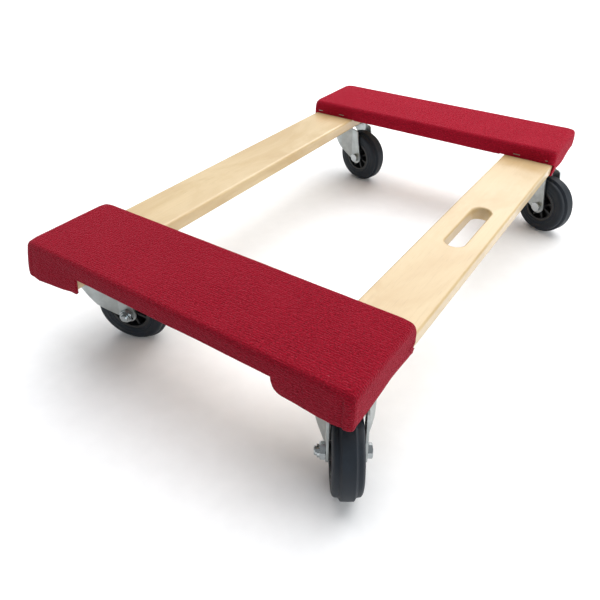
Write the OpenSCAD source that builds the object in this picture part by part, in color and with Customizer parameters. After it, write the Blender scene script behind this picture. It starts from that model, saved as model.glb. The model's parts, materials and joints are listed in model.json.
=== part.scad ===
// Furniture dolly: two hardwood rails, two carpeted crossboards and four swivel casters.
// The origin is on the floor under the middle of the deck, Y runs along the rails.

/* [Deck] */
// Length of the two side rails
rail_l = 755; // [640:5:900]
// Width of a side rail
rail_w = 79; // [74:1:90]
// Thickness of a side rail
rail_t = 19.5; // [16:0.5:25]
// Width of the deck across the outer faces of the rails
deck_w = 448; // [400:2:560]
// Width of a crossboard
board_w = 119; // [108:1:130]
// Thickness of a crossboard
board_t = 19; // [16:0.5:25]
// Rounding of the long edges of the rails
rail_edge_r = 4; // [2:0.5:5]
// Rounding of the long edges of the crossboards
board_edge_r = 3; // [1:0.5:4]

/* [Hand slot] */
// Overall length of the hand slot in the right rail
slot_l = 120; // [90:1:140]
// Width of the hand slot
slot_w = 26; // [22:1:32]
// Distance of the slot's middle outside the rail's middle line
slot_x = 2; // [-4:0.5:4]
// Distance of the slot's middle behind the middle of the rail
slot_y = -6; // [-40:1:40]
// Rounding of the slot's rims
slot_edge_r = 3; // [1:0.5:4]

/* [Carpet] */
// Thickness of the carpet on the crossboards
carpet_t = 3.5; // [2.5:0.5:4]
// Thickness of the stapled hem under a crossboard
hem_t = 2.5; // [1.5:0.5:3.5]
// Width of the hem under a crossboard
hem_w = 25; // [15:1:35]
// Rounding of the carpet over the board edges
carpet_r = 6.5; // [4:0.5:8]

/* [Caster] */
// Height of a caster from the floor to the rail
caster_h = 116; // [115:0.5:122]
// Distance of the wheel's axle behind the swivel axis
trail = 41; // [38:0.5:42]
// Length of the top plate along the rail
plate_l = 92; // [90:1:98]
// Width of the top plate across the rail
plate_w = 64; // [62:1:70]
// Thickness of the top plate and of the fork
plate_t = 2.5; // [2:0.25:2.5]
// Bolt spacing across the rail
bolt_x = 45; // [44:1:48]
// Bolt spacing along the rail
bolt_y = 75; // [74:1:78]

/* [Wheel] */
// Diameter of the wheel
wheel_d = 97; // [95:0.5:99]
// Width of the tyre
tyre_w = 32; // [30:0.5:33]
// Distance between the fork's legs
fork_gap = 36; // [35:0.5:38]
// Diameter of the axle bolt
axle_d = 10; // [8:0.5:10]

/* [Rest pose] */
// Turn of the front left fork about its swivel
front_left_turn = 110; // [-180:1:180]
// Turn of the front right fork about its swivel
front_right_turn = 34; // [-180:1:180]
// Turn of the rear left fork about its swivel
rear_left_turn = 77; // [-180:1:180]
// Turn of the rear right fork about its swivel
rear_right_turn = 67; // [-180:1:180]

/* [Hidden] */
DECK_NODES = [
    "left_rail", "right_rail", "front_crossboard", "rear_crossboard", "front_carpet",
    "rear_carpet", "front_staples", "rear_staples", "caster_bolts", "caster_nuts"
];
CASTER_NODES = [
    "top_plate", "kingpin", "lower_race", "swivel_balls", "fork",
    "axle_sleeve", "axle_bolt", "axle_nut", "wheel_hub", "tyre"
];
CORNERS = ["front_left", "front_right", "rear_left", "rear_right"];

$fn = 48;
eps = 0.01;
fit = 0.05;

// Heights above the floor
rail_z = caster_h;
board_z = rail_z + rail_t;
board_top = board_z + board_t;
deck_top = board_top + carpet_t;

// Places on the deck
rail_x = deck_w / 2 - rail_w / 2;
board_y = rail_l / 2 - board_w / 2;
inner_x = deck_w / 2 - rail_w;
cover_x = deck_w / 2 + carpet_t;
cover_y = board_w / 2 + carpet_t;

// Side, end, fork turn and side of the axle nut at each corner
LAYOUT = [
    [-1, -1, front_left_turn, -1],
    [1, -1, front_right_turn, -1],
    [-1, 1, rear_left_turn, 1],
    [1, 1, rear_right_turn, 1]
];

// Carriage bolts and their nuts
bolt_r = 4;
bolt_hole_r = 4.3;
bolt_head_r = 9.5;
bolt_head_t = 3;
bolt_neck = 8;
bolt_neck_t = 4;
bolt_nut_af = 13;
bolt_nut_t = 6.5;
bolt_tip = 1.5;

// Swivel bearing
plate_z = caster_h - plate_t;
crown_gap = 4;
crown_z = plate_z - crown_gap;
crown_t = plate_t;
crown_r = 32;
crown_hole_r = 6.5;
kingpin_r = 5;
kingpin_head_r = 8.5;
kingpin_head_t = 3;
ball_r = 2.38;
groove_r = ball_r + 0.07;
upper_pitch = 21;
upper_ball_z = crown_z + 1.1;
upper_ring_gap = 1.6;
upper_ball_count = 24;
lower_pitch = 13;
lower_ball_z = crown_z - crown_t - 1.1;
lower_ball_count = 15;
lower_race_top = crown_z - crown_t - upper_ring_gap;
lower_race_t = 3.7;
lower_race_r = 18;

// Fork legs
leg_x = fork_gap / 2 + crown_t;
leg_end_r = 11.5;
leg_bend_y = -29.5;
leg_front_top = [-trail - 0.5, crown_z - 9];
shoulder_z = crown_z - 5.7;

// Wheel and axle
wheel_r = wheel_d / 2;
axle_r = axle_d / 2;
axle_head_af = 14;
axle_nut_af = 16;
axle_head_t = 5.8;
axle_nut_t = 8.5;
axle_collar_t = 2.5;
axle_tip = 3;
sleeve_r = axle_r + 1.6;
boss_r = 10;
boss_gap = 0.5;
hub_r = 27;
hub_rim_t = 3.5;
hub_web_t = 6;
rib_count = 8;
rib_t = 3;
rib_w = 24;
lip_x = tyre_w / 2 - 1;

// Staples
staple_w = 11;
staple_wire = 1.2;
staple_leg = 9;
staple_proud = 0.4;
staple_sink = 1.8;

function hex_r(across_flats) = across_flats / 2 / cos(30);

// Tread and sidewall of one half of the tyre, as [distance from the middle, radius]
function tyre_half() = [
    [6.3, wheel_r], [6.9, wheel_r - 0.5], [8.5, wheel_r - 2.8], [9.1, wheel_r - 3.6], [12, wheel_r - 3.9],
    for (a = [70:-15:10]) [tyre_w / 2 - 4.4 + 4.1 * cos(a), wheel_r - 9.8 + 6 * sin(a)],
    [tyre_w / 2 - 0.3, wheel_r - 12.5], [tyre_w / 2, wheel_r - 14], [tyre_w / 2, wheel_r - 15.5],
    [tyre_w / 2 - 0.5, wheel_r - 16], [tyre_w / 2 - 0.5, wheel_r - 17.5],
    [tyre_w / 2, wheel_r - 18], [tyre_w / 2, hub_r + 1], [lip_x, hub_r]
];

// A rectangle with rounded corners, centred
module rounded_rect(width, height, r) {
    square([width - 2 * r, height], center = true);
    square([width, height - 2 * r], center = true);
    for (x = [-1, 1], y = [-1, 1]) {
        translate([x * (width / 2 - r), y * (height / 2 - r)]) circle(r);
    }
}

// A plank along Y with rounded long edges, standing on z = 0
module plank(width, length, thickness, r) {
    translate([0, length / 2, thickness / 2]) {
        rotate([90, 0, 0]) linear_extrude(length) rounded_rect(width, thickness, r);
    }
}

// Children at the four bolt positions of every caster
module at_bolts() {
    for (place = LAYOUT, x = [-1, 1], y = [-1, 1]) {
        translate([place[0] * rail_x + x * bolt_x / 2, place[1] * board_y + y * bolt_y / 2, 0]) {
            children();
        }
    }
}

// Half of the hand slot's outline: its half width at each height, with rounded rims
module slot_half_profile() {
    half = slot_w / 2;
    translate([0, -1]) square([half, rail_t + 2]);
    difference() {
        translate([0, -1]) square([half + slot_edge_r, slot_edge_r + 1]);
        translate([half + slot_edge_r, slot_edge_r]) circle(slot_edge_r);
    }
    difference() {
        translate([0, rail_t - slot_edge_r]) square([half + slot_edge_r, slot_edge_r + 1]);
        translate([half + slot_edge_r, rail_t - slot_edge_r]) circle(slot_edge_r);
    }
}

module hand_slot() {
    straight = slot_l - slot_w;
    for (side = [0, 1]) {
        mirror([side, 0, 0]) translate([0, straight / 2, 0]) {
            rotate([90, 0, 0]) linear_extrude(straight) slot_half_profile();
        }
    }
    for (end = [-1, 1]) {
        translate([0, end * straight / 2, 0]) rotate_extrude() slot_half_profile();
    }
}

module rail(side) {
    color("wheat") difference() {
        translate([side * rail_x, 0, rail_z]) plank(rail_w, rail_l, rail_t, rail_edge_r);
        at_bolts() translate([0, 0, rail_z - 1]) cylinder(r = bolt_hole_r, h = rail_t + 2);
        if (side == 1) {
            translate([rail_x + slot_x, slot_y, rail_z]) hand_slot();
        }
    }
}

module crossboard(end) {
    recess_z = board_top - bolt_head_t;
    color("burlywood") difference() {
        translate([0, end * board_y, board_z]) rotate([0, 0, 90]) {
            plank(board_w, deck_w, board_t, board_edge_r);
        }
        at_bolts() {
            translate([0, 0, board_z - 1]) cylinder(r = bolt_hole_r, h = board_t + 2);
            translate([0, 0, recess_z - eps]) cylinder(r = bolt_head_r + 0.3, h = bolt_head_t + 1);
            translate([-bolt_neck / 2 - fit, -bolt_neck / 2 - fit, recess_z - bolt_neck_t - 0.1]) {
                cube([bolt_neck + 2 * fit, bolt_neck + 2 * fit, bolt_neck_t + 1]);
            }
        }
    }
}

// Outer shape of a carpet cover: rounded in plan and over the top edges
module cover_block() {
    height = deck_top - rail_z;
    intersection() {
        linear_extrude(height) rounded_rect(2 * cover_x, 2 * cover_y, carpet_r);
        translate([0, cover_y, 0]) rotate([90, 0, 0]) linear_extrude(2 * cover_y) {
            rounded_rect(2 * cover_x, 2 * height, carpet_r);
        }
        translate([-cover_x, 0, 0]) rotate([90, 0, 90]) linear_extrude(2 * cover_x) {
            rounded_rect(2 * cover_y, 2 * height, carpet_r);
        }
    }
}

// Carpet over a crossboard and the ends of both rails, open towards the middle of the dolly
module carpet(end) {
    open_y = board_w / 2 - hem_w;
    color("firebrick") scale([1, -end, 1]) translate([0, -board_y, 0]) difference() {
        translate([0, 0, rail_z]) cover_block();
        translate([0, 0, board_z]) rotate([0, 0, 90]) plank(board_w, deck_w, board_t, board_edge_r);
        translate([-inner_x, -cover_y - 1, rail_z - 1]) {
            cube([2 * inner_x, 2 * cover_y + 2, rail_t - hem_t + 1]);
        }
        translate([-inner_x, -open_y, rail_z]) cube([2 * inner_x, 2 * open_y, rail_t + eps]);
        for (side = [-1, 1]) {
            translate([side * rail_x - rail_w / 2, -board_w / 2, rail_z - 1]) {
                cube([rail_w, 2 * cover_y, rail_t + 1]);
            }
        }
    }
}

// A wire staple driven down into z = 0, its crown along X
module staple() {
    translate([-staple_w / 2, -staple_wire / 2, -staple_wire / 2]) {
        cube([staple_w, staple_wire, staple_wire / 2 + staple_proud]);
    }
    for (side = [-1, 1]) {
        translate([side * (staple_w - staple_wire) / 2, 0, -staple_leg]) {
            cylinder(r = staple_wire / 2, h = staple_leg);
        }
    }
}

// Staples of one cover: along both hems below, sunk in the pile beside the rails, and on the inner face
module staples(end) {
    hem_pitch = 60;
    color("silver") scale([1, -end, 1]) translate([0, -board_y, 0]) {
        for (x = [-2:2], side = [-1, 1]) {
            translate([x * hem_pitch, side * (board_w / 2 - 12), board_z - hem_t]) {
                rotate([180, 0, 0]) staple();
            }
        }
        for (side = [-1, 1], y = [-36, 0, 36]) {
            translate([side * (cover_x - staple_sink), y, rail_z + rail_t / 2]) {
                rotate([90, 0, side * 90]) staple();
            }
        }
        for (side = [-1, 1], x = [rail_x - 18, rail_x + 27]) {
            translate([side * x, cover_y, board_z + 5]) rotate([-90, 0, 0]) staple();
        }
    }
}

// Round-headed bolt with a square neck, its head flush with the top of a crossboard
module carriage_bolt() {
    tip_z = plate_z - bolt_nut_t - bolt_tip;
    head_z = board_top - bolt_head_t;
    dome_r = (bolt_head_r * bolt_head_r + bolt_head_t * bolt_head_t) / 2 / bolt_head_t;
    translate([0, 0, tip_z]) cylinder(r = bolt_r, h = head_z - tip_z + eps);
    translate([-bolt_neck / 2, -bolt_neck / 2, head_z - bolt_neck_t]) {
        cube([bolt_neck, bolt_neck, bolt_neck_t + eps]);
    }
    intersection() {
        translate([0, 0, head_z + bolt_head_t - dome_r]) sphere(dome_r, $fn = 96);
        translate([0, 0, head_z]) cylinder(r = bolt_head_r, h = bolt_head_t + 1);
    }
}

module caster_bolts() {
    color("silver") at_bolts() carriage_bolt();
}

// Hexagon block with chamfered corners at both ends, standing on z = 0
module hexagon(across_flats, thickness) {
    face_r = across_flats / 2;
    bevel = 1.2;
    intersection() {
        cylinder(r = hex_r(across_flats), h = thickness, $fn = 6);
        rotate_extrude() polygon([
            [0, 0], [face_r, 0], [face_r + 2, bevel],
            [face_r + 2, thickness - bevel], [face_r, thickness], [0, thickness]
        ]);
    }
}

module caster_nuts() {
    color("silver") at_bolts() translate([0, 0, plate_z - bolt_nut_t]) difference() {
        hexagon(bolt_nut_af, bolt_nut_t);
        translate([0, 0, -1]) cylinder(r = bolt_r + fit, h = bolt_nut_t + 2);
    }
}

// Ring-shaped groove that a row of balls runs in
module ball_groove(pitch, z) {
    translate([0, 0, z]) rotate_extrude() translate([pitch, 0]) circle(groove_r);
}

module top_plate() {
    ring_z = crown_z + upper_ring_gap;
    color("lightsteelblue") difference() {
        union() {
            translate([0, 0, plate_z]) linear_extrude(plate_t) rounded_rect(plate_w, plate_l, 7);
            translate([0, 0, ring_z]) cylinder(r = upper_pitch + 6.5, h = plate_z - ring_z + eps);
        }
        for (x = [-1, 1], y = [-1, 1]) {
            translate([x * bolt_x / 2, y * bolt_y / 2, plate_z - 1]) {
                cylinder(r = bolt_hole_r, h = plate_t + 2);
            }
        }
        translate([0, 0, ring_z - 1]) cylinder(r = upper_pitch - 6, h = plate_z - ring_z + 1);
        translate([0, 0, plate_z - 1]) cylinder(r = kingpin_r + fit, h = plate_t + 2);
        translate([0, 0, plate_z + 0.5]) {
            cylinder(r1 = kingpin_r + fit, r2 = kingpin_r + fit + plate_t - 0.5, h = plate_t - 0.5);
        }
        ball_groove(upper_pitch, upper_ball_z);
    }
}

// Rivet that holds the fork between its two rows of balls
module kingpin() {
    head_z = lower_race_top - lower_race_t - kingpin_head_t;
    color("silver") union() {
        translate([0, 0, head_z + 1]) cylinder(r = kingpin_head_r, h = kingpin_head_t - 1);
        translate([0, 0, head_z]) cylinder(r1 = kingpin_head_r - 1, r2 = kingpin_head_r, h = 1);
        translate([0, 0, head_z + 1]) cylinder(r = kingpin_r, h = caster_h - head_z - 1);
        translate([0, 0, plate_z + 0.5]) {
            cylinder(r1 = kingpin_r, r2 = kingpin_r + plate_t - 0.5, h = plate_t - 0.5);
        }
    }
}

module lower_race() {
    color("gray") difference() {
        translate([0, 0, lower_race_top - lower_race_t]) cylinder(r = lower_race_r, h = lower_race_t);
        translate([0, 0, lower_race_top - lower_race_t - 1]) {
            cylinder(r = kingpin_r + fit, h = lower_race_t + 2);
        }
        ball_groove(lower_pitch, lower_ball_z);
    }
}

// A ring of loose balls
module ball_row(pitch, z, count) {
    for (i = [0:count - 1]) {
        rotate([0, 0, i * 360 / count]) translate([pitch, 0, z]) sphere(ball_r, $fn = 24);
    }
}

module swivel_balls() {
    color("gainsboro") {
        ball_row(upper_pitch, upper_ball_z, upper_ball_count);
        ball_row(lower_pitch, lower_ball_z, lower_ball_count);
    }
}

// Outline of the fork in plan: a round crown that narrows to two flat legs, inset by a distance
module fork_plan(inset) {
    x = leg_x - inset;
    r = crown_r - inset;
    bend = [x, leg_bend_y + inset / 4];
    touch = atan2(bend[1], bend[0]) + acos(r / norm(bend));
    step = (180 - 2 * touch) / 32;
    polygon([
        [-x, -wheel_d - inset], [x, -wheel_d - inset], bend,
        for (i = [0:32]) [r * cos(touch + i * step), r * sin(touch + i * step)],
        [-x, bend[1]]
    ]);
}

// Outline of a leg from the side: Y to the right, Z up
module leg_side() {
    translate([-trail, wheel_r]) circle(leg_end_r);
    polygon([
        [-trail - leg_end_r, wheel_r], leg_front_top, [-trail + 4, shoulder_z - 1],
        [-26, shoulder_z], [-24, crown_z - 2.2], [-20, crown_z - 0.3], [27, crown_z - 0.3], [24, crown_z - 4],
        [15, crown_z - 15], [3.5, crown_z - 29], [-7, crown_z - 43],
        [-trail + leg_end_r * 0.74, wheel_r - leg_end_r * 0.67]
    ]);
}

// Stamped steel fork: a crown that turns between the ball rows and two legs that hold the axle
module fork() {
    color("lightsteelblue") difference() {
        union() {
            translate([0, 0, crown_z - crown_t]) cylinder(r = crown_r - 0.7, h = crown_t, $fn = 96);
            intersection() {
                difference() {
                    linear_extrude(crown_z + 1) fork_plan(0);
                    translate([0, 0, -1]) linear_extrude(crown_z + 3) fork_plan(crown_t);
                }
                translate([-crown_r - 1, 0, 0]) rotate([90, 0, 90]) {
                    linear_extrude(2 * crown_r + 2) leg_side();
                }
            }
        }
        cylinder(r = crown_hole_r, h = caster_h);
        ball_groove(upper_pitch, upper_ball_z);
        ball_groove(lower_pitch, lower_ball_z);
        at_axle() cylinder(r = axle_r + fit, h = 3 * fork_gap, center = true);
    }
}

// Children on the axle, with their Z axis along it
module at_axle() {
    translate([0, -trail, wheel_r]) rotate([0, 90, 0]) children();
}

module axle_sleeve() {
    color("silver") at_axle() difference() {
        cylinder(r = sleeve_r, h = fork_gap, center = true);
        cylinder(r = axle_r + fit, h = fork_gap + 2, center = true);
    }
}

// Bolt from its head on one leg to its tip past the nut on the other
module axle_bolt(nut_side) {
    shaft_l = 2 * leg_x + axle_nut_t + axle_tip;
    color("silver") at_axle() mirror([0, 0, nut_side > 0 ? 1 : 0]) {
        translate([0, 0, leg_x]) hexagon(axle_head_af, axle_head_t);
        translate([0, 0, leg_x - shaft_l + 1]) cylinder(r = axle_r, h = shaft_l);
        translate([0, 0, leg_x - shaft_l]) cylinder(r1 = axle_r - 1, r2 = axle_r, h = 1);
    }
}

// Locking nut: a hexagon with a round collar
module axle_nut(nut_side) {
    color("silver") at_axle() mirror([0, 0, nut_side > 0 ? 0 : 1]) translate([0, 0, leg_x]) {
        difference() {
            union() {
                hexagon(axle_nut_af, axle_nut_t - axle_collar_t);
                cylinder(r = axle_nut_af / 2 - 1, h = axle_nut_t);
            }
            translate([0, 0, -1]) cylinder(r = axle_r + fit, h = axle_nut_t + 2);
        }
    }
}

// Moulded hub: boss, web and rim, stiffened by radial ribs on both sides
module wheel_hub() {
    boss_l = fork_gap - 2 * boss_gap;
    rim_w = 2 * lip_x;
    color("dimgray") at_axle() difference() {
        union() {
            cylinder(r = boss_r, h = boss_l, center = true);
            cylinder(r = hub_r - 1, h = hub_web_t, center = true);
            difference() {
                cylinder(r = hub_r, h = rim_w, center = true, $fn = 96);
                cylinder(r = hub_r - hub_rim_t, h = rim_w + 2, center = true, $fn = 96);
            }
            for (i = [0:rib_count - 1]) {
                rotate([0, 0, (i + 0.5) * 360 / rib_count]) {
                    translate([boss_r - 1, -rib_t / 2, -rib_w / 2]) {
                        cube([hub_r - hub_rim_t - boss_r + 2, rib_t, rib_w]);
                    }
                }
            }
        }
        cylinder(r = sleeve_r + fit, h = boss_l + 2, center = true);
    }
}

// Rubber tyre with a raised centre band and rounded shoulders
module tyre() {
    half = tyre_half();
    last = len(half) - 1;
    color("darkslategray") at_axle() rotate_extrude($fn = 120) polygon(concat(
        [for (point = half) [point[1], point[0]]],
        [for (i = [last:-1:0]) [half[i][1], -half[i][0]]]
    ));
}

// Children at a corner's swivel axis, turned with its fork
module at_corner(place, turned) {
    translate([place[0] * rail_x, place[1] * board_y, 0]) {
        rotate([0, 0, turned ? place[2] : 0]) children();
    }
}

rail(-1);  // left_rail
rail(1);  // right_rail
crossboard(-1);  // front_crossboard
crossboard(1);  // rear_crossboard
carpet(-1);  // front_carpet
carpet(1);  // rear_carpet
staples(-1);  // front_staples
staples(1);  // rear_staples
caster_bolts();
caster_nuts();
for (i = [0:len(CORNERS) - 1]) {
    at = LAYOUT[i];
    name = CORNERS[i];
    at_corner(at, false) top_plate();
    at_corner(at, false) kingpin();
    at_corner(at, false) lower_race();
    at_corner(at, true) swivel_balls();
    at_corner(at, true) fork();
    at_corner(at, true) axle_sleeve();
    at_corner(at, true) axle_bolt(at[3]);
    at_corner(at, true) axle_nut(at[3]);
    at_corner(at, true) wheel_hub();
    at_corner(at, true) tyre();
}
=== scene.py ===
"""Looks of the furniture dolly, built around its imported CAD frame. Lengths are in metres unless a note says mm."""

import json
import math

import bmesh
import bpy
import numpy as np
from mathutils import Matrix, Vector, noise


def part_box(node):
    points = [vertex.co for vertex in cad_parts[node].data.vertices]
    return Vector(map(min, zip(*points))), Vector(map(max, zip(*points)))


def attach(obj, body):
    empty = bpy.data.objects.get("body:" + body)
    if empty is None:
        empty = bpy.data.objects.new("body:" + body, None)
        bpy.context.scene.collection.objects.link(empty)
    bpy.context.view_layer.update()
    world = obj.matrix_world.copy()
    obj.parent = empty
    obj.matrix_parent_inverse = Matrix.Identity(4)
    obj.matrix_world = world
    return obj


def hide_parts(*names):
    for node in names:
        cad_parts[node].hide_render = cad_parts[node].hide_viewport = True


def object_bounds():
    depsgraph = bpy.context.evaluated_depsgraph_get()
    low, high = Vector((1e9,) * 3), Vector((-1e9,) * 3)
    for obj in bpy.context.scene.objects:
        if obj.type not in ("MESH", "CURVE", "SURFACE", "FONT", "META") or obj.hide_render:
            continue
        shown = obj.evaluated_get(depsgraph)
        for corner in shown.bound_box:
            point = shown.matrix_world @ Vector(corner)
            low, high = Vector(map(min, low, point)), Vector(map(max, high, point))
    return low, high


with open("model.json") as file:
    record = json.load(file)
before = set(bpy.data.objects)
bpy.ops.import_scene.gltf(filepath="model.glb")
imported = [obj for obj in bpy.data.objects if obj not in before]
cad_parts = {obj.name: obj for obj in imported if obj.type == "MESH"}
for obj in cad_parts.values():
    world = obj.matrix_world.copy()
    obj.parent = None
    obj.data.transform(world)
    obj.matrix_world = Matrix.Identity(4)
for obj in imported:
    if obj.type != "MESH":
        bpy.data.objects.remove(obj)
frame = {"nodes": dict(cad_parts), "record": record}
CAD_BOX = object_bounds()
MM = 0.001


# ---------------------------------------------------------------- camera, lights and floor

# Yaw, pitch and roll in degrees, and the camera's x, y and height over the deck, as solved for the photo's view.
CAMERA_TURN = (34.22, 36.82, 0.093)
CAMERA_PLACE = (0.3763, -0.6821, 0.3530)
CAMERA_LENS_MM = 34.41
SENSOR_MM = 36
CLIP_START = 0.01

# Name, place, diameter, power in watts and colour. Every lamp aims at the middle of the dolly.
LAMPS = (
    ("overhead", (-0.4, 1.5, 3.2), 6.0, 262, (0.985, 0.99, 1)),
    ("key", (3.0, 0.8, 1.3), 2.4, 40, (1, 0.985, 0.96)),
    ("fill", (2.6, -1.3, 1.0), 1.6, 14, (0.84, 0.92, 1)),
)
SKY_COLOUR = (0.93, 0.965, 1, 1)
SKY_STRENGTH = 0.37
FLOOR_HALF = 8.0


def make_camera():
    """A camera above the front right corner of the deck, looking down at it."""
    yaw, pitch, roll = (math.radians(angle) for angle in CAMERA_TURN)
    x, y, over_deck = CAMERA_PLACE
    back = Vector((math.sin(yaw) * math.cos(pitch), -math.cos(yaw) * math.cos(pitch), math.sin(pitch)))
    right = Vector((math.cos(yaw), math.sin(yaw), 0))
    turn = Matrix((right, back.cross(right), back)).transposed() @ Matrix.Rotation(roll, 3, "Z")
    data = bpy.data.cameras.new("camera")
    data.lens = CAMERA_LENS_MM
    data.sensor_width = SENSOR_MM
    data.clip_start = CLIP_START
    camera = bpy.data.objects.new("camera", data)
    camera.matrix_world = Matrix.Translation((x, y, CAD_BOX[1].z + over_deck)) @ turn.to_4x4()
    bpy.context.scene.collection.objects.link(camera)
    bpy.context.scene.camera = camera


def make_lights():
    """A wide softbox overhead and behind, a weaker key and a cool fill from the right, and an even sky."""
    middle = (CAD_BOX[0] + CAD_BOX[1]) / 2
    for name, place, diameter, power, colour in LAMPS:
        data = bpy.data.lights.new(name, "AREA")
        data.shape = "DISK"
        data.size = diameter
        data.energy = power
        data.color = colour
        lamp = bpy.data.objects.new(name, data)
        lamp.location = place
        lamp.rotation_euler = (middle - Vector(place)).to_track_quat("-Z", "Y").to_euler()
        bpy.context.scene.collection.objects.link(lamp)
    world = bpy.data.worlds.new("studio")
    world.use_nodes = True
    sky = world.node_tree.nodes["Background"]
    sky.inputs["Color"].default_value = SKY_COLOUR
    sky.inputs["Strength"].default_value = SKY_STRENGTH
    bpy.context.scene.world = world
    bpy.context.scene.view_settings.view_transform = "Standard"


def make_floor():
    """A large pale floor at the height that the wheels stand on."""
    z = CAD_BOX[0].z
    corners = [(x * FLOOR_HALF, y * FLOOR_HALF, z) for x, y in ((-1, -1), (1, -1), (1, 1), (-1, 1))]
    mesh = bpy.data.meshes.new("floor")
    mesh.from_pydata(corners, [], [(0, 1, 2, 3)])
    floor = bpy.data.objects.new("floor", mesh)
    bpy.context.scene.collection.objects.link(floor)
    graph = Graph("floor_paint", roughness=0.95, specular=0.1)
    speckle = graph.noise(graph.place(), scale=40, detail=3)
    graph.colour(graph.ramp(speckle, [(0.3, 0.90), (0.7, 0.93)]))
    mesh.materials.append(graph.material)


# ---------------------------------------------------------------- node materials

def shade(colour, factor):
    """A colour made lighter or darker by a factor."""
    return tuple(min(1, channel * factor) for channel in colour)


class Graph:
    """A node material on a Principled shader, built one texture at a time."""

    def __init__(self, name, specular=None, **sockets):
        self.material = bpy.data.materials.new(name)
        self.material.use_nodes = True
        self.tree = self.material.node_tree
        self.shader = self.tree.nodes["Principled BSDF"]
        if specular is not None:
            self.shader.inputs["Specular IOR Level"].default_value = specular
        for key, value in sockets.items():
            self.shader.inputs[key.replace("_", " ").title()].default_value = value

    def node(self, kind, inputs, **settings):
        """Adds a node; each input is a socket to link or a plain value."""
        made = self.tree.nodes.new(kind)
        for key, value in settings.items():
            setattr(made, key, value)
        for key, value in inputs.items():
            if isinstance(value, bpy.types.NodeSocket):
                self.tree.links.new(value, made.inputs[key])
            else:
                made.inputs[key].default_value = value
        return made

    def place(self, scale=(1, 1, 1), source="Object"):
        """Surface position in metres, or the cloth coordinate with source="UV", scaled."""
        where = self.tree.nodes.new("ShaderNodeTexCoord").outputs[source]
        return self.node("ShaderNodeMapping", {"Vector": where, "Scale": scale}).outputs["Vector"]

    def noise(self, vector, scale=1.0, detail=4.0, roughness=0.55, distortion=0.0):
        return self.node("ShaderNodeTexNoise", {
            "Vector": vector, "Scale": scale, "Detail": detail, "Roughness": roughness, "Distortion": distortion,
        }).outputs["Fac"]

    def wave(self, vector, scale, direction, distortion, detail, detail_scale, phase=0.0):
        return self.node("ShaderNodeTexWave", {
            "Vector": vector, "Scale": scale, "Distortion": distortion, "Detail": detail,
            "Detail Scale": detail_scale, "Phase Offset": phase,
        }, bands_direction=direction).outputs["Fac"]

    def ramp(self, pattern, stops):
        """Reads a colour or a grey level from stops of (pattern value, colour or level)."""
        made = self.node("ShaderNodeValToRGB", {"Fac": pattern})
        band = made.color_ramp
        while len(band.elements) < len(stops):
            band.elements.new(0.5)
        for element, (position, colour) in zip(band.elements, stops):
            if isinstance(colour, (int, float)):
                colour = (colour, colour, colour)
            element.position = position
            element.color = (*colour, 1)
        return made.outputs["Color"]

    def stain(self, base, colour, pattern, stops):
        """Lays a colour over a base, as strongly as stops of (pattern value, strength) say."""
        # The mix node has several sockets of each name, so its colour sockets are called by number.
        factor, under, over, result = 0, 6, 7, 2
        return self.node("ShaderNodeMix", {
            factor: self.ramp(pattern, stops), under: base, over: (*colour, 1),
        }, data_type="RGBA").outputs[result]

    def colour(self, socket):
        self.tree.links.new(socket, self.shader.inputs["Base Color"])

    def roughness(self, socket):
        self.tree.links.new(socket, self.shader.inputs["Roughness"])

    def bump(self, height, depth, strength):
        """Adds a bump of this depth over the bump that is there already."""
        made = self.node("ShaderNodeBump", {"Height": height, "Distance": depth, "Strength": strength})
        before = self.shader.inputs["Normal"].links
        if before:
            self.tree.links.new(before[0].from_socket, made.inputs["Normal"])
        self.tree.links.new(made.outputs["Normal"], self.shader.inputs["Normal"])


def wood(name, along, pale, honey, varnish):
    """Light hardwood with soft blotches, faint rings and pores along one axis, under clear varnish."""
    graph = Graph(name, roughness=0.4, coat_weight=varnish, coat_roughness=0.12)

    def drawn_out(across, length):
        """Surface position whose patterns are drawn out along the grain."""
        scale = [across] * 3
        scale["XYZ".index(along)] = length
        return graph.place(scale)

    broad = drawn_out(34, 2.2)
    blotch = graph.noise(drawn_out(15, 5), detail=4, roughness=0.6, distortion=0.8)
    figure = graph.noise(broad, detail=5, roughness=0.6, distortion=0.7)
    rings = graph.wave(broad, scale=0.5, direction="Z", distortion=8, detail=3, detail_scale=0.7)
    fibre = graph.noise(drawn_out(700, 16), detail=2, roughness=0.7)
    pore = graph.noise(drawn_out(1500, 45), detail=1, roughness=0.5)
    tone = graph.ramp(blotch, [(0.34, honey), (0.52, pale), (0.72, shade(pale, 1.10))])
    tone = graph.stain(tone, honey, figure, [(0.40, 0.35), (0.62, 0.0)])
    tone = graph.stain(tone, honey, rings, [(0.12, 0.26), (0.5, 0.0)])
    tone = graph.stain(tone, shade(honey, 0.74), fibre, [(0.54, 0.0), (0.78, 0.30)])
    graph.colour(graph.stain(tone, shade(honey, 0.55), pore, [(0.67, 0.0), (0.75, 0.30)]))
    graph.roughness(graph.ramp(figure, [(0.25, 0.34), (0.8, 0.46)]))
    graph.bump(fibre, 0.12 * MM, 0.35)
    graph.bump(pore, -0.1 * MM, 0.4)
    return graph.material


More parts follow.
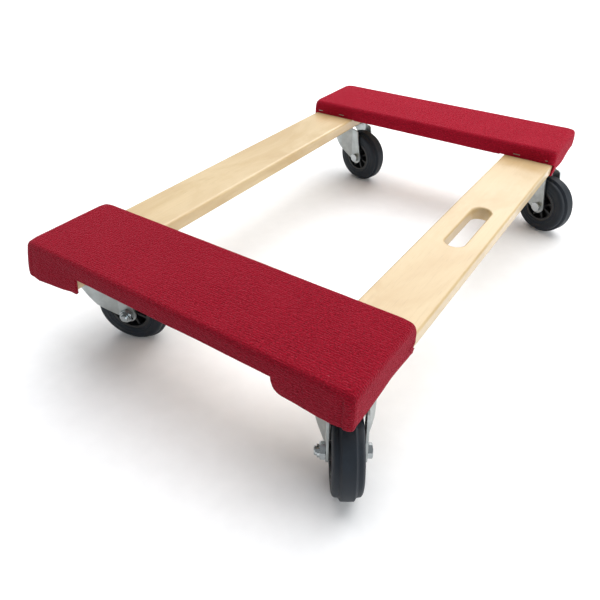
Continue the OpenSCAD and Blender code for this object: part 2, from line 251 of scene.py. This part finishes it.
def carpet_material(name, painted_light_factor):
    """Needle-punched carpet: painted shade darkening the grooves between the ribs, a felted pile and a few pale lint
    specks.
    """
    graph = Graph(name, specular=0.08, roughness=0.95, sheen_weight=0.5, sheen_roughness=0.25,
                  sheen_tint=(1.0, 0.26, 0.33, 1))

    def speckle(along, across, detail, roughness):
        """Noise with this many specks to a metre along and across the ribs."""
        return graph.noise(graph.place((along, across, 1), "UV"), detail=detail, roughness=roughness)

    def cloth_with_painted_light(red, green, blue):
        """A colour of the cloth, scaled by the painted light factor, which paints the rear cover lighter for the
        stronger light that falls on it.
        """
        return shade((red, green, blue), painted_light_factor)

    # Blender's wave has 20 radians to a unit, so this scale gives one groove to each rib of the mesh.
    ribs = graph.wave(graph.place(source="UV"), scale=math.pi / (10 * RIB_PITCH), direction="Y", distortion=0.6,
                      detail=3, detail_scale=60, phase=math.pi)
    felt = speckle(400, 720, detail=6, roughness=0.7)
    tufts = speckle(170, 300, detail=3, roughness=0.6)
    patches = graph.noise(graph.place(source="UV"), scale=16, detail=3, roughness=0.6)
    lint = speckle(260, 520, detail=1, roughness=0.4)
    pile = graph.ramp(felt, [
        (0.36, cloth_with_painted_light(0.108, 0.0010, 0.0050)), (0.50, cloth_with_painted_light(0.270, 0.0036, 0.0150)), (0.66, cloth_with_painted_light(0.44, 0.0108, 0.033)),
    ])
    # Painted shade: the cloth is darkened in the grooves between the ribs.
    pile = graph.stain(pile, cloth_with_painted_light(0.098, 0.0020, 0.0062), ribs, [(0.0, 0.45), (0.5, 0.0)])
    pile = graph.stain(pile, cloth_with_painted_light(0.31, 0.0085, 0.0225), patches, [(0.38, 0.0), (0.70, 0.30)])
    pile = graph.stain(pile, cloth_with_painted_light(0.120, 0.0024, 0.0080), tufts, [(0.34, 0.28), (0.50, 0.0)])
    graph.colour(graph.stain(pile, (0.55, 0.16, 0.17), lint, [(0.80, 0.0), (0.82, 0.7)]))
    graph.bump(felt, 1.6 * MM, 1.0)
    graph.bump(tufts, 1.8 * MM, 0.8)
    return graph.material


def zinc(name, tint, rough, grain_strength):
    """Zinc-plated steel with cloudy patches and a faint grain."""
    graph = Graph(name, metallic=1.0, roughness=rough)
    cloud = graph.noise(graph.place(), scale=70, detail=5, roughness=0.6)
    grain = graph.noise(graph.place((300, 300, 2600)), detail=2, roughness=0.6)
    plate = graph.ramp(cloud, [(0.32, shade(tint, 0.78)), (0.66, tint)])
    graph.colour(graph.stain(plate, shade(tint, 1.12), grain, [(0.45, 0.0), (0.8, 0.35)]))
    graph.roughness(graph.ramp(cloud, [(0.3, rough + 0.10), (0.75, rough - 0.05)]))
    graph.bump(grain, 0.05 * MM, grain_strength)
    return graph.material


def steel(name, tint, rough):
    """Plain steel with a fine swirl in its colour and gloss."""
    graph = Graph(name, metallic=1.0, roughness=rough)
    swirl = graph.noise(graph.place(), scale=260, detail=4, roughness=0.6)
    graph.colour(graph.ramp(swirl, [(0.3, shade(tint, 0.8)), (0.7, tint)]))
    graph.roughness(graph.ramp(swirl, [(0.3, rough + 0.08), (0.7, rough - 0.04)]))
    return graph.material


def rubber():
    """Black tyre rubber with mould grain and faint scuffs; the blue cast of its colours is a painted reflection of a
    bluish sky.
    """
    graph = Graph("tyre_rubber", specular=0.32, roughness=0.5)
    scuff = graph.noise(graph.place(), scale=55, detail=6, roughness=0.7)
    grain = graph.noise(graph.place(), scale=1500, detail=3, roughness=0.7)
    # Painted reflection: the blue cast of these colours stands in for a bluish sky reflected in the rubber; the
    # lighter scuffs are wear.
    graph.colour(graph.ramp(scuff, [
        (0.30, (0.0046, 0.0078, 0.0125)), (0.62, (0.0078, 0.0128, 0.0200)), (0.85, (0.015, 0.022, 0.032)),
    ]))
    graph.roughness(graph.ramp(scuff, [(0.3, 0.46), (0.8, 0.66)]))
    graph.bump(grain, 0.12 * MM, 0.5)
    graph.bump(scuff, 0.4 * MM, 0.3)
    return graph.material


def plastic():
    """Moulded black nylon of the hubs."""
    graph = Graph("hub_nylon", roughness=0.42)
    grain = graph.noise(graph.place(), scale=900, detail=3, roughness=0.7)
    flow = graph.noise(graph.place(), scale=45, detail=4, roughness=0.6)
    graph.colour(graph.ramp(flow, [(0.3, (0.0075, 0.0078, 0.0085)), (0.75, (0.014, 0.0145, 0.0155))]))
    graph.roughness(graph.ramp(flow, [(0.3, 0.34), (0.75, 0.50)]))
    graph.bump(grain, 0.08 * MM, 0.6)
    return graph.material


def dress_cad_nodes():
    """Gives every carried-over CAD node its node material, by the record's material slot."""
    finishes = {
        "rail_wood": wood("birch_varnished", "Y", (0.57, 0.435, 0.240), (0.47, 0.325, 0.150), varnish=0.45),
        "board_wood": wood("birch_plain", "X", (0.80, 0.62, 0.40), (0.66, 0.45, 0.25), varnish=0.05),
        "stamped_zinc": zinc("zinc_stamped", (0.42, 0.445, 0.44), 0.40, grain_strength=0.5),
        "bolt_zinc": zinc("zinc_bright", (0.46, 0.49, 0.50), 0.15, grain_strength=0.2),
        "staple_wire": steel("wire_galvanised", (0.34, 0.33, 0.32), 0.38),
        "race_steel": steel("race_oiled", (0.34, 0.34, 0.35), 0.30),
        "ball_steel": steel("ball_polished", (0.72, 0.72, 0.74), 0.14),
        "hub_plastic": plastic(),
        "tyre_rubber": rubber(),
    }
    for entry in frame["record"]["subparts"]:
        finish = finishes.get(entry["material_slot"])
        if finish:
            materials = frame["nodes"][entry["node"]].data.materials
            materials.clear()
            materials.append(finish)


# ---------------------------------------------------------------- carpet covers

PILE = 3.2 * MM
HEM = 25 * MM
TINY = 1e-6
WELD = 0.03 * MM

# Height over the rails at which the faces divide, the hem's depth under the board, and how far the left and the
# right slit lie from the rails' inner edges, towards the middle.
SPLIT_OVER_RAIL = 1.5 * MM
HEM_UNDER_BOARD = 2.5 * MM
SLIT_GAPS = (5 * MM, 7 * MM)

# The ribs. They wander by RIB_WANDER radians, fade out within RIB_FADE of the upright edges, and lose the share
# RIB_ON_SIDES of their depth on the sides.
RIB_PITCH = 2.9 * MM
RIB_DEPTH = 0.32 * MM
RIB_WANDER = 0.35
RIB_FADE = 3 * MM
RIB_ON_SIDES = 0.5

# The outer face's free lower edge: (place along the board, rise over the underside of the rails), in mm.
FACE_HEM = {
    "front": [(-227.5, 2.5), (-221, -1.0), (-205, -2.8), (-185, -2.2), (-165, -3.4), (-152, -3.0), (-143, -4.6),
              (0, -2.0), (140, -1.0), (165, -1.2), (189, -3.8), (207, -2.4), (220, -1.2), (227.5, -0.6)],
    "rear": [(-227.5, 9), (-218, 3), (-195, -1), (-160, -2), (0, -2), (155, -1.5), (190, -2.5), (210, 3),
             (227.5, 12)],
}
# The ends' free lower edges: (place across the board, outwards; rise over the underside of the rails), in mm.
END_HEM = {
    "front_left": [(-63, 4), (-30, 2), (20, 1), (50, 0), (63, 2.5)],
    "front_right": [(-63, 3.6), (-40, 4.5), (0, 2.5), (35, 0), (63, -0.6)],
    "rear_left": [(-63, 2), (-20, 4), (30, 5), (63, 9)],
    "rear_right": [(-63, 0.5), (-35, 3), (2, 2.5), (20, 5), (39, 9), (63, 12)],
}
# Radius of the lower corner beside each slit, in mm.
SLIT_ROUND = {"front_left": 0.5, "front_right": 12, "rear_left": 7, "rear_right": 7}

# How far the end's free vertical edge beside the rail is pinched in, in mm. The pinch is deepest PINCH_DROP below
# the rail's top, fades over PINCH_TALL above and below that, and over PINCH_WIDE away from the edge. PINCH_START
# is how steeply it sets in below the split.
PINCH = {"front_left": 4, "front_right": 9, "rear_left": 3, "rear_right": 2.5}
PINCH_DROP = 4.5 * MM
PINCH_TALL = 5 * MM
PINCH_WIDE = 24 * MM
PINCH_START = 6

# How far the left flap's free edge leans away from its slit at the bottom, and how far along the board that fades.
LEFT_LEAN = 6 * MM
LEAN_WIDE = 30 * MM

# How far the flap over each rail's end stands out at its lower corner, in mm. It starts FLARE_RISE above the
# split, has its full value FLARE_FULL below that, and would level off at FLARE_END. It fades towards the slit, and
# FLARE_SPREAD is how steeply.
FLARE = {"front_left": 8, "front_right": 0.5, "rear_left": 3, "rear_right": 1}
FLARE_RISE = 18 * MM
FLARE_FULL = 42 * MM
FLARE_END = 45 * MM
FLARE_SPREAD = 1.6

# Height of the folded tab at each corner, in mm, and its width on the face and round on the end. A crease runs
# beside it on the face, and a swell beyond that.
TAB_HEIGHT = {"front_left": 0.3, "front_right": 1.1, "rear_left": 0.5, "rear_right": 0.9}
TAB = 11.5 * MM
TAB_EDGE = 1.2 * MM
TAB_ON_END = 9 * MM
TAB_ON_END_EDGE = 8 * MM
CREASE_FROM_TAB = 0.9 * MM
CREASE_WIDE = 0.8 * MM
CREASE_DEEP = 0.9
SWELL_PLACE = 22 * MM
SWELL_WIDE = 6 * MM
SWELL_HIGH = 0.8 * MM

# The cloth counts as a side from SIDE_FROM below the top, and fully from SIDE_TO. The top has less slack.
SIDE_FROM = 2 * MM
SIDE_TO = 12 * MM
SLACK_ON_TOP = 0.4

# Length, height and seed of the broad and the small waves of the slack, and length and seed of the other waves.
SLACK_WAVES = ((55 * MM, 0.55 * MM, 1), (14 * MM, 0.24 * MM, 4))
RIB_WAVES = (20 * MM, 2)
CURL_WAVES = (30 * MM, 9)
SEED_SHIFT = (7.3, 3.1, 5.7)

# How far the free lower edges curl in: always CURL_IN times CURL_LEAST, and more or less with the curl waves.
CURL_IN = 1.5 * MM
CURL_LEAST = 0.7
CURL_VARIES = 0.6

# How deep the upper corners are rounded off, how far that reaches, and the power with which it fades.
CORNER_CUT = 2.6 * MM
CORNER_REACH = 17 * MM
CORNER_FADE = 1.5


def smooth(value, low, high):
    """0 below low, 1 above high, with a smooth rise between them."""
    t = np.clip((value - low) / (high - low), 0, 1)
    return t * t * (3 - 2 * t)


def hump(value, middle, width):
    """1 at the middle, falling off smoothly to both sides."""
    return np.exp(-((value - middle) / width) ** 2)


def spread(low, high, step):
    """Evenly spaced values from low to high, about one step apart."""
    return np.linspace(low, high, max(2, int(round(abs(high - low) / step)) + 1))


def wrinkle(points, scale, seed):
    """Smooth noise from -1 to 1 at each point."""
    shift = Vector([seed * step for step in SEED_SHIFT])
    return np.array([noise.noise(Vector(p) / scale + shift) for p in points])


def follow(table, place):
    """Height in metres read from a table of (place, height) in mm."""
    places, heights = zip(*table)
    return np.interp(place / MM, places, heights) * MM


class Cover:
    """Carpet over one crossboard, in the board's own axes: X along it, Y away from the dolly's middle.

    It is a grid of cloth cut into rows and columns, rounded over the board and then shaped. Every vertex also has
    its place on the flat cloth, and how far it is down a free flap, from 0 at the split to 1 at the lower edge.
    """

    edge_r = 6.5 * MM
    under_r = 4.0 * MM
    step = 6.5 * MM
    fine = 1.4 * MM
    step_rib = RIB_PITCH / 4
    fine_by_slit = 14 * MM
    fine_by_corner = 16 * MM

    def __init__(self, end):
        self.end = end
        self.name = "front" if end < 0 else "rear"
        low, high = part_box(f"{self.name}_carpet")
        rail_low, rail_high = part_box("right_rail")
        self.middle = (low.y + high.y) / 2
        self.half_x = high.x
        self.half_y = (high.y - low.y) / 2
        self.top = high.z
        self.rail_top = rail_high.z
        self.rail_bottom = rail_low.z
        self.split = rail_high.z + SPLIT_OVER_RAIL
        self.hem_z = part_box(f"{self.name}_crossboard")[0].z - HEM_UNDER_BOARD
        self.slits = {-1: -rail_low.x + SLIT_GAPS[0], 1: rail_low.x - SLIT_GAPS[1]}
        self.vertices = []
        self.cloth = []
        self.fall = []
        self.faces = []

    def corner_name(self, side):
        return f"{self.name}_{'right' if side > 0 else 'left'}"

    def add(self, rows):
        """Adds a grid of rows of (point, place on the cloth, fall) as quads."""
        start = len(self.vertices)
        width = len(rows[0])
        for row in rows:
            for point, cloth, fall in row:
                self.vertices.append(self.rounded(*point))
                self.cloth.append(cloth)
                self.fall.append(fall)
        for i in range(len(rows) - 1):
            for j in range(width - 1):
                a = start + i * width + j
                self.faces.append((a, a + 1, a + width + 1, a + width))

    def rounded(self, x, y, z):
        """A point of the sharp box moved onto the box with rounded top and corner edges."""
        r = self.edge_r
        core = (
            min(max(x, r - self.half_x), self.half_x - r),
            min(max(y, r - self.half_y), self.half_y - r),
            min(z, self.top - r),
        )
        away = (x - core[0], y - core[1], z - core[2])
        length = math.sqrt(away[0] ** 2 + away[1] ** 2 + away[2] ** 2)
        if length <= r:
            return (x, y, z)
        return tuple(c + a * r / length for c, a in zip(core, away))

    def columns(self):
        """Places along X, close together beside the slits and at the corners."""
        near_left, near_right = self.slits[-1] - self.fine_by_slit, self.slits[1] + self.fine_by_slit
        flat_end = self.half_x - self.fine_by_corner
        marks = [
            (-self.half_x, -flat_end, self.fine),
            (-flat_end, near_left, self.step),
            (near_left, self.slits[-1], self.fine),
            (self.slits[-1], self.slits[1], self.step),
            (self.slits[1], near_right, self.fine),
            (near_right, flat_end, self.step),
            (flat_end, self.half_x, self.fine),
        ]
        return np.unique(np.round(np.concatenate([spread(*mark) for mark in marks]), 7))

    def ribs(self):
        return spread(-self.half_y, self.half_y, self.step_rib)

    def upper_depths(self):
        """Depths from the top down to the split."""
        return spread(0, self.top - self.split, self.step_rib)

    def falls(self):
        return spread(0, 1, self.step_rib / (self.split - self.rail_bottom))

    def top_sheet(self):
        self.add([[((x, y, self.top), (x, y), 0) for x in self.columns()] for y in self.ribs()])

    def end_sheet(self, side):
        """Down one end of the board and over the side of the rail below it."""
        key = self.corner_name(side)
        x = side * self.half_x
        rows = []
        for depth in self.upper_depths():
            rows.append([((x, y, self.top - depth), (x + side * depth, y), 0) for y in self.ribs()])
        self.add(rows)
        rows = []
        for fall in self.falls():
            row = []
            for y in self.ribs():
                bottom = self.rail_bottom + follow(END_HEM[key], y)
                z = self.split + fall * (bottom - self.split)
                waist = hump(z, self.rail_top - PINCH_DROP, PINCH_TALL) * min(1, fall * PINCH_START)
                pinch = PINCH[key] * MM * waist * (1 - smooth(y + self.half_y, 0, PINCH_WIDE))
                row.append(((x, y + pinch, z), (x + side * (self.top - z), y), fall))
            rows.append(row)
        self.add(rows)

    def face_sheet(self, side, x_values, depths, path):
        """Down one long side of the board; path gives (y, z) at a depth."""
        rows = []
        for depth in depths:
            y, z = path(depth)
            rows.append([((x, side * y, z), (x, side * (self.half_y + depth)), 0) for x in x_values])
        self.add(rows)

    def flap_sheet(self, side, x_values):
        """The outer face's part that hangs over a rail's end, from the slit to the corner."""
        slit = self.slits[side]
        radius = SLIT_ROUND[self.corner_name(side)] * MM
        lean = LEFT_LEAN if side < 0 else 0
        rows = []
        for fall in self.falls():
            row = []
            for x in x_values:
                from_slit = abs(x - slit)
                inside = max(radius - from_slit, 0)
                bottom = self.rail_bottom + follow(FACE_HEM[self.name], x)
                bottom += radius - math.sqrt(radius ** 2 - inside ** 2)
                z = self.split + fall * (bottom - self.split)
                shift = lean * fall * (1 - smooth(from_slit, 0, LEAN_WIDE))
                row.append(((x - shift, self.half_y, z), (x, self.half_y + self.top - z), fall))
            rows.append(row)
        self.add(rows)

    def straight_path(self, depth):
        return self.half_y, self.top - depth

    def under_path(self, depth):
        """Down the face, round the board's lower edge and along below it."""
        r = self.under_r
        fall = self.top - self.hem_z - r
        if depth <= fall:
            return self.half_y, self.top - depth
        turn = (depth - fall) / r
        if turn <= math.pi / 2:
            return self.half_y - r + r * math.cos(turn), self.hem_z + r - r * math.sin(turn)
        return self.half_y - r - (depth - fall - r * math.pi / 2), self.hem_z

    def long_sides(self):
        """Both faces along the board: hemmed under it between the rails, and hanging over the rails' ends."""
        columns = self.columns()
        middle = columns[(columns >= self.slits[-1] - TINY) & (columns <= self.slits[1] + TINY)]
        ends = {-1: columns[columns <= self.slits[-1] + TINY], 1: columns[columns >= self.slits[1] - TINY]}
        hem = spread(self.top - self.split, self.top - self.hem_z + HEM, self.step_rib)
        over_rail = spread(self.top - self.split, self.top - self.rail_top, self.step_rib)
        for side in (-1, 1):
            self.face_sheet(side, columns, self.upper_depths(), self.straight_path)
            self.face_sheet(side, middle, hem, self.under_path)
        for side, part in ends.items():
            self.flap_sheet(side, part)
            self.face_sheet(-1, part, over_rail, self.straight_path)

    def shaped(self):
        """All points with ribs, folded corner tabs, curled lower edges and the slack of a stapled cover."""
        points, cloth, fall = (np.array(values, float) for values in (self.vertices, self.cloth, self.fall))
        on_face = np.abs(cloth[:, 1]) > self.half_y + TINY
        on_end = np.abs(cloth[:, 0]) > self.half_x + TINY
        from_corner = np.ones(len(points))
        from_corner[on_end] = self.half_y - np.abs(cloth[on_end, 1])
        from_corner[on_face] = self.half_x - np.abs(cloth[on_face, 0])
        side = smooth(self.top - points[:, 2], SIDE_FROM, SIDE_TO)
        moved = self.ribbing(points, cloth) * smooth(from_corner, 0, RIB_FADE) * (1 - RIB_ON_SIDES * side)
        moved += self.slack(points) * (SLACK_ON_TOP + (1 - SLACK_ON_TOP) * side)
        moved += self.corner_folds(points, from_corner, on_face) * side
        moved -= CURL_IN * fall ** 3 * (CURL_LEAST + CURL_VARIES * self.waves(points, *CURL_WAVES))
        moved -= CORNER_CUT * np.clip(1 - self.from_top_corner(points) / CORNER_REACH, 0, 1) ** CORNER_FADE
        flare = self.flare(points, from_corner, on_face, on_end)
        points += self.outward(points) * moved[:, None]
        points[:, 1] += flare
        return points

    def ribbing(self, points, cloth):
        """Grooves between the ribs, which wander a little along the cloth."""
        wander = wrinkle(points, *RIB_WAVES) * RIB_WANDER
        return RIB_DEPTH * (np.cos(cloth[:, 1] / RIB_PITCH * 2 * math.pi + wander) - 1) / 2

    def waves(self, points, length, seed):
        """Smooth noise that is different on the front and the rear cover."""
        return wrinkle(points, length, seed + self.end)

    def slack(self, points):
        return sum(self.waves(points, length, seed) * height for length, height, seed in SLACK_WAVES)

    def corner_folds(self, points, from_corner, on_face):
        """The cloth folded over at each corner, the crease beside it and the swell beyond."""
        height = self.by_corner(TAB_HEIGHT, points)
        on_face_tab = smooth(TAB - from_corner, 0, TAB_EDGE)
        on_end_tab = smooth(TAB_ON_END - from_corner, 0, TAB_ON_END_EDGE)
        tab = np.where(on_face, on_face_tab, on_end_tab) * height
        crease = on_face * hump(from_corner, TAB + CREASE_FROM_TAB, CREASE_WIDE) * -CREASE_DEEP * height
        swell = on_face * hump(from_corner, SWELL_PLACE, SWELL_WIDE) * SWELL_HIGH
        return tab + crease + swell

    def flare(self, points, from_corner, on_face, on_end):
        """How far each point of the flaps over the rails' ends stands out."""
        width = np.where(points[:, 0] > 0, self.half_x - self.slits[1], self.half_x + self.slits[-1])
        low = smooth(self.split + FLARE_RISE - points[:, 2], 0, FLARE_END) / smooth(FLARE_FULL, 0, FLARE_END)
        along_face = np.clip(FLARE_SPREAD * (1 - from_corner / width), 0, 1) * (points[:, 1] > 0) * on_face
        along_end = on_end * smooth(points[:, 1], 0, self.half_y)
        return self.by_corner(FLARE, points) * low * (along_face + along_end)

    def by_corner(self, table, points):
        """Metres read from a table in mm for the corner on each point's side."""
        return np.where(points[:, 0] > 0, table[self.corner_name(1)], table[self.corner_name(-1)]) * MM

    def from_top_corner(self, points):
        """Distance of each point from the nearest upper corner of the cover."""
        gap = np.abs(np.abs(points) - (self.half_x, self.half_y, self.top))
        return np.linalg.norm(gap, axis=1)

    def outward(self, points):
        """Outward direction of the rounded box at each point, and straight down under the board."""
        r = self.edge_r
        core = np.stack([
            np.clip(points[:, 0], r - self.half_x, self.half_x - r),
            np.clip(points[:, 1], r - self.half_y, self.half_y - r),
            np.minimum(points[:, 2], self.top - r),
        ], 1)
        away = points - core
        below = points[:, 2] < self.hem_z + self.under_r
        under = below & (np.abs(points[:, 1]) < self.half_y - 0.2 * MM) & (np.abs(points[:, 0]) < self.half_x - r)
        away[under] = (0, 0, -1)
        lengths = np.linalg.norm(away, axis=1)
        lengths[lengths < TINY] = 1
        return away / lengths[:, None]

    def mesh(self):
        """The shaped sheet in the dolly's own axes, welded, with the flat cloth as its UV map."""
        mesh = bpy.data.meshes.new(f"{self.name}_cover")
        world = self.shaped() * (1, self.end, 1) + (0, self.middle, 0)
        mesh.from_pydata(world.tolist(), [], self.faces)
        layer = mesh.uv_layers.new(name="cloth")
        loops = np.zeros(len(mesh.loops), int)
        mesh.loops.foreach_get("vertex_index", loops)
        layer.data.foreach_set("uv", np.array(self.cloth)[loops].ravel())
        weld = bmesh.new()
        weld.from_mesh(mesh)
        bmesh.ops.remove_doubles(weld, verts=weld.verts, dist=WELD)
        bmesh.ops.recalc_face_normals(weld, faces=weld.faces)
        weld.to_mesh(mesh)
        weld.free()
        for polygon in mesh.polygons:
            polygon.use_smooth = True
        return mesh

    def build(self, material):
        self.top_sheet()
        self.end_sheet(-1)
        self.end_sheet(1)
        self.long_sides()
        mesh = self.mesh()
        mesh.materials.append(material)
        cover = bpy.data.objects.new(f"{self.name}_cover", mesh)
        bpy.context.scene.collection.objects.link(cover)
        thick = cover.modifiers.new("pile", "SOLIDIFY")
        thick.thickness = PILE
        thick.offset = -1
        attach(cover, "frame")
        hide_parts(f"{self.name}_carpet")
        return cover


def make_covers():
    """Both covers, the rear one in a red painted lighter, for the stronger light that falls on the rear."""
    # The last number of each is painted light: it lightens the rear cover's red for the stronger light on the rear.
    for name, end, painted_light_factor in (("front", -1, 1.0), ("rear", 1, 1.28)):
        cover = Cover(end).build(carpet_material(f"{name}_carpet_pile", painted_light_factor))


make_camera()
make_lights()
make_floor()
dress_cad_nodes()
make_covers()
